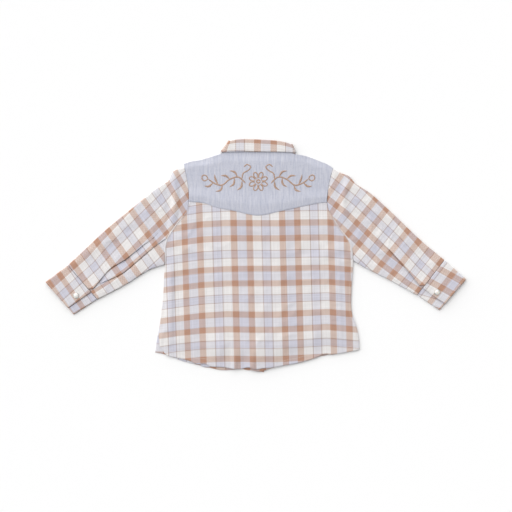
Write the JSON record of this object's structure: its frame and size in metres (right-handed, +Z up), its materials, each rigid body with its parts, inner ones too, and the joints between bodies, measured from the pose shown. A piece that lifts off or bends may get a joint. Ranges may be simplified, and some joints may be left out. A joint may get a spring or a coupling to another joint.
{
  "type": "western snap shirt",
  "caption": "Child's long-sleeved western snap shirt, laid flat with its back up, with a plain contrast yoke, fold-over collar, snapped cuffs and a curved shirt-tail hem.",
  "frame": {"origin": "centre of the bounding box on the surface that the fronts rest on", "axes": "+Z up out of the shirt's back, +Y towards the neck, +X towards the wearer's right cuff"},
  "size_m": [0.6722, 0.3724, 0.0078],
  "materials": {
    "plaid_cloth": "soft woven double gauze in a brown, cream and pale blue plaid",
    "yoke_cloth": "crinkled pale blue double gauze",
    "pearl_snap": "pearly cap in a thin bright metal rim"
  },
  "bodies": {
    "root": {"back_panel": "plaid_cloth", "back_yoke": "yoke_cloth", "collar_band": "plaid_cloth", "collar": "plaid_cloth", "front_left": "plaid_cloth", "front_right": "plaid_cloth", "sleeve_left": "plaid_cloth", "sleeve_right": "plaid_cloth", "cuff_left": "plaid_cloth", "cuff_right": "plaid_cloth", "snap_cuff_left": "pearl_snap", "snap_cuff_right": "pearl_snap", "snap_neck": "pearl_snap", "snap_front_1": "pearl_snap", "snap_front_2": "pearl_snap", "snap_front_3": "pearl_snap", "snap_front_4": "pearl_snap", "snap_front_5": "pearl_snap", "snap_front_6": "pearl_snap"}
  },
  "joints": []
}
